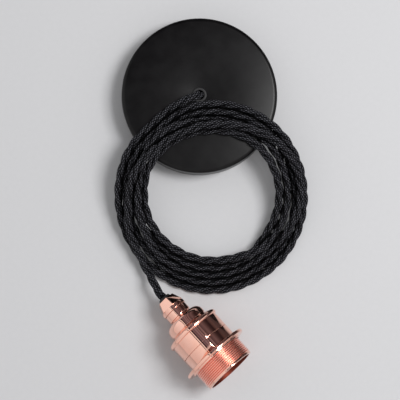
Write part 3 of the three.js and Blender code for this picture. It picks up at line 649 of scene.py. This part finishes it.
def finished(name, form, smooth_angle=32):
    """The form as an object in the scene that rides on the frame."""
    for face in form.faces:
        face.smooth = True
    sharp = math.radians(smooth_angle)
    for edge in form.edges:
        edge.smooth = len(edge.link_faces) != 2 or edge.calc_face_angle(0) < sharp
    mesh = bpy.data.meshes.new(name)
    form.to_mesh(mesh)
    form.free()
    piece = bpy.data.objects.new(name, mesh)
    bpy.context.collection.objects.link(piece)
    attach(piece, "root")
    print(name, "faces:", len(mesh.polygons))
    return piece


# %% [markdown]
# ## Ceiling rose cover
# A cup pressed from 1.2 mm steel sheet and powder coated satin black. The spun section is the
# pressing's wall, with a wide radius at its edge.

# %% Ceiling rose cover
ROSE_WALL = 1.2
ROSE_EDGE = 3.0
HOLE_RADIUS = 4.75
rose_section = [
    (ROSE_RADIUS - ROSE_WALL, 0), (ROSE_RADIUS, 0), (ROSE_RADIUS, ROSE_HEIGHT),
    (HOLE_RADIUS, ROSE_HEIGHT), (HOLE_RADIUS, ROSE_HEIGHT - ROSE_WALL),
    (ROSE_RADIUS - ROSE_WALL, ROSE_HEIGHT - ROSE_WALL),
]
rose_shell = turned("pressed_rose_cover", rose_section, steps=192,
                    rounded={2: ROSE_EDGE, 5: ROSE_EDGE - ROSE_WALL, 3: 0.3})
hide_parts("rose_cover")

# %% [markdown]
# ## Satin powder coat
# Baked polyester powder: a dark skin with faint clouds in its black and a fine orange peel, which
# spreads a lamp's reflection into a broad grey sheen.

# %% Satin powder coat
powder, tree, shader = new_material("satin_black_powder_coat")
place = add(tree, "ShaderNodeTexCoord")
peel = add(tree, "ShaderNodeTexNoise",
           {"Vector": place.outputs["Object"], "Scale": 700.0, "Detail": 3.0})
bump = add(tree, "ShaderNodeBump",
           {"Height": peel.outputs["Fac"], "Distance": 0.00004, "Strength": 0.35})
tree.links.new(bump.outputs["Normal"], shader.inputs["Normal"])
mottle = add(tree, "ShaderNodeTexNoise",
             {"Vector": place.outputs["Object"], "Scale": 100.0, "Detail": 4.0})
tone = add(tree, "ShaderNodeValToRGB", {"Fac": mottle.outputs["Fac"]})
tone.color_ramp.elements[0].position = 0.35
tone.color_ramp.elements[0].color = linear("020203")
tone.color_ramp.elements[1].position = 0.65
tone.color_ramp.elements[1].color = linear("0d0d0e")
tree.links.new(tone.outputs["Color"], shader.inputs["Base Color"])
shader.inputs["Roughness"].default_value = 0.32
shader.inputs["Specular IOR Level"].default_value = 0.22
dress(rose_shell, powder)

# %% [markdown]
# ## Nylon bushes
# Rings of black nylon in the cover's hole and in the mouth of the grip. Their fine grain keeps
# them duller than the powder coat round them.

# %% Nylon bushes
nylon, tree, shader = new_material("matt_black_nylon")
place = add(tree, "ShaderNodeTexCoord")
grain = add(tree, "ShaderNodeTexNoise",
            {"Vector": place.outputs["Object"], "Scale": 1500.0, "Detail": 2.0})
bump = add(tree, "ShaderNodeBump",
           {"Height": grain.outputs["Fac"], "Distance": 0.00003, "Strength": 0.5})
tree.links.new(bump.outputs["Normal"], shader.inputs["Normal"])
shader.inputs["Base Color"].default_value = linear("161618")
shader.inputs["Roughness"].default_value = 0.55
BUSH_BORE = FLEX_RADIUS + GAP
outlet_section = [
    (BUSH_BORE, 19), (BUSH_BORE + 1, 19), (BUSH_BORE + 1, 22.2), (5.35, 22.2),
    (5.35, BUSH_TOP), (BUSH_BORE, BUSH_TOP),
]
rose_bush = turned("rose_outlet_bush", outlet_section, steps=64, rounded={4: 0.5, 5: 0.4})
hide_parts("outlet_bush")
dress(rose_bush, nylon)
grip_section = [(BUSH_BORE, 5.3), (BUSH_BORE, -2), (4.4, -2), (4.9, 0), (5, 5.3)]
mouth_bush = turned("grip_mouth_bush", grip_section, HOLDER_MATRIX, steps=64,
                    rounded={1: 0.4, 2: 0.4})
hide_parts("grip_bush")
dress(mouth_bush, nylon)

# %% [markdown]
# ## Polished copper
# Brass pressings plated with copper and lacquered: a clean mirror that takes its looks from what
# stands round it. A trace of unevenness keeps the reflections from being perfect.

# %% Polished copper
copper, tree, shader = new_material("polished_copper_plate")
place = add(tree, "ShaderNodeTexCoord")
drift = add(tree, "ShaderNodeTexNoise",
            {"Vector": place.outputs["Object"], "Scale": 120.0, "Detail": 3.0})
tone = add(tree, "ShaderNodeValToRGB", {"Fac": drift.outputs["Fac"]})
tone.color_ramp.elements[0].position = 0.3
tone.color_ramp.elements[0].color = linear("f6bfab")
tone.color_ramp.elements[1].position = 0.7
tone.color_ramp.elements[1].color = linear("fac9b8")
tree.links.new(tone.outputs["Color"], shader.inputs["Base Color"])
rough = add(tree, "ShaderNodeMapRange",
            {"Value": drift.outputs["Fac"], "To Min": 0.03, "To Max": 0.08})
tree.links.new(rough.outputs["Result"], shader.inputs["Roughness"])
shader.inputs["Metallic"].default_value = 1.0

# %% [markdown]
# ## Copper in the thread
# Light bounces more than once between a thread's flanks and takes more of the copper's red each
# time, so the grooves are painted redder and darker than the crests: painted shade for those
# bounces. The distance from the lampholder's axis tells the two apart. The rolled flanks are less
# smooth than the spun cap, which spreads the window's reflection into a soft pale stripe along the
# thread.

# %% Copper in the thread
CREST_RADIUS = 19.8
ROOT_RADIUS = 19.0
thread_copper, tree, shader = new_material("copper_thread_with_painted_groove_shade")
place = add(tree, "ShaderNodeTexCoord")
from_place = add(tree, "ShaderNodeVectorMath",
                 {0: place.outputs["Object"], 1: HOLDER_PLACE * MM}, operation="SUBTRACT")
arm = add(tree, "ShaderNodeVectorMath", {0: from_place.outputs[0], 1: HOLDER_AXIS},
          operation="CROSS_PRODUCT")
radius = add(tree, "ShaderNodeVectorMath", {0: arm.outputs[0]}, operation="LENGTH")
depth = add(tree, "ShaderNodeMapRange",
            {"Value": radius.outputs["Value"], "From Min": ROOT_RADIUS * MM,
             "From Max": CREST_RADIUS * MM})
# Redder and darker at the roots than at the crests: painted shade in the grooves.
tone = add(tree, "ShaderNodeValToRGB", {"Fac": depth.outputs["Result"]})
tone.color_ramp.elements[0].position = 0.2
tone.color_ramp.elements[0].color = linear("f2ac9c")
tone.color_ramp.elements[1].position = 0.9
tone.color_ramp.elements[1].color = linear("fbccbe")
tree.links.new(tone.outputs["Color"], shader.inputs["Base Color"])
shader.inputs["Roughness"].default_value = 0.27
shader.inputs["Metallic"].default_value = 1.0

# %% [markdown]
# ## Dull copper inside
# The polisher doesn't reach the skirt's inside, so it stays rough. Its colour is a dark brown,
# painted shade that keeps the mouth dark.

# %% Dull copper inside
inside_copper_painted_dark, tree, shader = new_material("unpolished_copper_painted_dark")
place = add(tree, "ShaderNodeTexCoord")
drift = add(tree, "ShaderNodeTexNoise",
            {"Vector": place.outputs["Object"], "Scale": 200.0, "Detail": 3.0})
rough = add(tree, "ShaderNodeMapRange",
            {"Value": drift.outputs["Fac"], "To Min": 0.4, "To Max": 0.55})
tree.links.new(rough.outputs["Result"], shader.inputs["Roughness"])
shader.inputs["Base Color"].default_value = linear("703428")
shader.inputs["Metallic"].default_value = 1.0

# %% [markdown]
# ## Lampholder: cap and grip body
# The cap is spun brass: a dome, a beaded collar and a straight wall. The grip's body is a short
# turned barrel whose foot goes through the top of the dome. Heights count from the grip's mouth.

# %% Lampholder: cap and grip body
cap_section = [
    (5.3, 17), (15.2, 17), (15.2, 25.2), (19.2, 27.6), (20.9, 27.6), (20.9, 31.0), (19.65, 31.0),
    (19.65, 42.2), (18.65, 42.2), (18.65, 29.3), (14.2, 26.2), (14.2, 18), (7, 18), (7, 20.4),
    (5.3, 20.4),
]
spun_cap = turned("spun_holder_cap", cap_section, HOLDER_MATRIX, steps=160,
                  rounded={1: 5.4, 2: 0.5, 4: 1.6, 5: 1.4, 6: 0.3, 7: 0.2, 11: 4.4})
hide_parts("holder_cap")
dress(spun_cap, copper)
body_section = [
    (BUSH_BORE, 5.5), (6.7, 5.5), (6.7, 10.3), (8.9, 10.3), (8.9, 15.9), (7.1, 15.9), (7.1, 16.8),
    (5, 16.8), (5, 20), (BUSH_BORE, 20),
]
grip_barrel = turned("turned_grip_barrel", body_section, HOLDER_MATRIX, steps=128,
                     rounded={3: 0.2, 4: 0.5, 6: 0.2})
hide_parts("grip_body")
dress(grip_barrel, copper)

# %% [markdown]
# ## Lampholder: shade ring
# A flange with a low hub, run along the skirt's thread to hold a shade.

# %% Lampholder: shade ring
ring_section = [(20.1, 51.3), (25.5, 51.3), (25.5, 53.7), (21.3, 53.7), (21.3, 54.9), (20.1, 54.9)]
ring = turned("shade_ring_flange", ring_section, HOLDER_MATRIX, steps=160,
              rounded={1: 0.8, 2: 0.8, 3: 0.3, 4: 0.3})
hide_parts("shade_ring")
dress(ring, copper)

# %% [markdown]
# ## Lampholder: threaded skirt
# A sleeve that seats inside the cap: a plain band, then a fine thread, 1.4 mm from crest to crest,
# so that the shade ring can run along it, then a plain rim. The thread is a real helix, bridged at
# both ends to the turned sleeve, and the inside of the sleeve stays dull and is painted dark as
# shade.

# %% Lampholder: threaded skirt
THREAD_PITCH = 1.4
THREAD_START = 50.7
THREAD_END = 66.9
BRIDGE = 0.25
INSIDE_RADIUS = 17.6


def wave(crest, root, pitch, points=8):
    """One pitch of a rounded thread, from crest to crest."""
    middle, half = (crest + root) / 2, (crest - root) / 2
    return [(middle + half * math.cos(2 * math.pi * k / points), pitch * k / points)
            for k in range(points + 1)]


skirt_form = bmesh.new()
thread_wave = wave(CREST_RADIUS, ROOT_RADIUS, THREAD_PITCH)
helix(skirt_form, thread_wave, THREAD_PITCH, THREAD_START, THREAD_END)
sleeve_section = [
    (19.3, THREAD_END + BRIDGE), (19.3, 68.7), (17.25, 68.7), (17.25, 34.5), (18.35, 34.5),
    (18.35, 42.5), (19.65, 42.5), (19.65, THREAD_START - BRIDGE),
]
spun(skirt_form, sleeve_section, rounded={1: 0.3, 2: 0.3, 6: 0.2}, closed=False)
bridged(skirt_form, THREAD_START - 0.1, THREAD_END + 0.1)
# Thread faces take the copper with painted groove shade, inside faces the copper painted dark as
# shade.
for face in skirt_form.faces:
    middle = face.calc_center_median() / MM
    threaded = THREAD_START < middle.z < THREAD_END and middle.xy.length > ROOT_RADIUS - 0.1
    face.material_index = 2 if threaded else int(middle.xy.length < INSIDE_RADIUS)
bmesh.ops.transform(skirt_form, matrix=HOLDER_MATRIX, verts=skirt_form.verts)
skirt = finished("threaded_skirt_sleeve", skirt_form, smooth_angle=50)
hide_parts("threaded_skirt")
for material in (copper, inside_copper_painted_dark, thread_copper):
    skirt.data.materials.append(material)

# %% [markdown]
# ## Lampholder: grip nut
# The hexagon is milled on a taper, one corner a little to the right of the top. Its mouth and its
# foot are bridged to the turned part: the band, the socket behind it and the bore.

# %% Lampholder: grip nut
NUT_TAPER = 6.9
MOUTH_FLATS = 6.1
FOOT_FLATS = 8.5
CORNER_TURN = math.radians(-13)
ACROSS_CORNERS = 1 / math.cos(math.pi / 6)
SHARP_TURN = 0.8
nut_form = bmesh.new()
nut_place = (Matrix.Translation((0, 0, NUT_TAPER / 2 * MM))
             @ Matrix.Rotation(CORNER_TURN, 4, "Z"))
bmesh.ops.create_cone(nut_form, cap_ends=False, segments=6, matrix=nut_place,
                      radius1=MOUTH_FLATS * ACROSS_CORNERS * MM,
                      radius2=FOOT_FLATS * ACROSS_CORNERS * MM, depth=NUT_TAPER * MM)
slanted = [e for e in nut_form.edges if len(e.link_faces) == 2]
bmesh.ops.bevel(nut_form, geom=slanted, offset=0.35 * MM, segments=4, profile=0.5,
                affect="EDGES", material=-1)
band_section = [(9.2, 7.2), (9.5, 7.9), (9.5, 10.2), (7, 10.2), (7, 5.2), (5.3, 5.2), (5.3, 0.1)]
spun(nut_form, band_section, steps=96, rounded={1: 0.5, 2: 0.2, 3: 0.2}, closed=False)
bridged(nut_form, 0.05, 7.05)
mouth_edges = [e for e in nut_form.edges
               if all(abs(v.co.z) < SAME_POINT for v in e.verts) and e.is_manifold
               and e.calc_face_angle(0) > SHARP_TURN]
bmesh.ops.bevel(nut_form, geom=mouth_edges, offset=0.2 * MM, segments=2, profile=0.5,
                affect="EDGES", material=-1)
bmesh.ops.transform(nut_form, matrix=HOLDER_MATRIX, verts=nut_form.verts)
nut = finished("tapered_grip_nut", nut_form)
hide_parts("grip_nut")
dress(nut, copper)

# %% [markdown]
# ## Lampholder: screw shell
# The lamp's thread is rolled into a brass sleeve, so its outside and its inside are the same helix
# 0.6 mm apart. Both ends are closed with a flat rim between the two.

# %% Lampholder: screw shell
SHELL_PITCH = 3.6
SHELL_DEPTH = 0.8
SHELL_BACK = 40.3
SHELL_FRONT = 58.3
shell_form = bmesh.new()
for crest in (13.9, 13.3):
    shell_wave = wave(crest, crest - SHELL_DEPTH, SHELL_PITCH, 10)
    helix(shell_form, shell_wave, SHELL_PITCH, SHELL_BACK, SHELL_FRONT)
for height in (SHELL_BACK, SHELL_FRONT):
    bmesh.ops.triangle_fill(shell_form, edges=open_edges(shell_form, height), use_beauty=True,
                            normal=(0, 0, 1))
bmesh.ops.recalc_face_normals(shell_form, faces=shell_form.faces)
bmesh.ops.transform(shell_form, matrix=HOLDER_MATRIX, verts=shell_form.verts)
shell = finished("rolled_screw_shell", shell_form)
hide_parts("screw_shell")

# %% [markdown]
# ## Everything inside
# The solids that the cover and the cap hide have the right shape already, so they only get
# finishes: zinc-plated steel, brass, natural nylon and black phenolic.

# %% Everything inside
def plain_metal(name, colour, roughness):
    """A cut metal with fine scratches that break up its gloss."""
    material, tree, shader = new_material(name)
    place = add(tree, "ShaderNodeTexCoord")
    scratch = add(tree, "ShaderNodeTexNoise",
                  {"Vector": place.outputs["Object"], "Scale": 400.0, "Detail": 4.0})
    spread = add(tree, "ShaderNodeMapRange", {"Value": scratch.outputs["Fac"],
                                              "To Min": roughness * 0.7, "To Max": roughness * 1.3})
    tree.links.new(spread.outputs["Result"], shader.inputs["Roughness"])
    shader.inputs["Base Color"].default_value = linear(colour)
    shader.inputs["Metallic"].default_value = 1.0
    return material


def plain_moulding(name, colour, roughness):
    """A moulded plastic with a faint texture from its mould."""
    material, tree, shader = new_material(name)
    place = add(tree, "ShaderNodeTexCoord")
    texture = add(tree, "ShaderNodeTexNoise",
                  {"Vector": place.outputs["Object"], "Scale": 900.0, "Detail": 2.0})
    bump = add(tree, "ShaderNodeBump",
               {"Height": texture.outputs["Fac"], "Distance": 0.00003, "Strength": 0.4})
    tree.links.new(bump.outputs["Normal"], shader.inputs["Normal"])
    shader.inputs["Base Color"].default_value = linear(colour)
    shader.inputs["Roughness"].default_value = roughness
    return material


FINISH_OF_SLOT = {
    "zinc_steel": plain_metal("zinc_plated_steel", "c4c8ca", 0.35),
    "brass": plain_metal("drawn_brass", "d8b46a", 0.28),
    "block_nylon": plain_moulding("natural_nylon", "e6e4dc", 0.45),
    "black_phenolic": plain_moulding("black_phenolic_moulding", "181719", 0.3),
    "black_nylon": nylon,
    "black_powder_coat": powder,
    "polished_copper": copper,
    "black_braid": plain_moulding("braid_ends_in_the_dark", "1c1c1f", 0.85),
}
slot_of_node = {part["node"]: part["material_slot"] for part in frame["record"]["subparts"]}
for node_name, piece in frame["nodes"].items():
    dress(piece, FINISH_OF_SLOT[slot_of_node[node_name]])
dress(shell, FINISH_OF_SLOT["brass"])
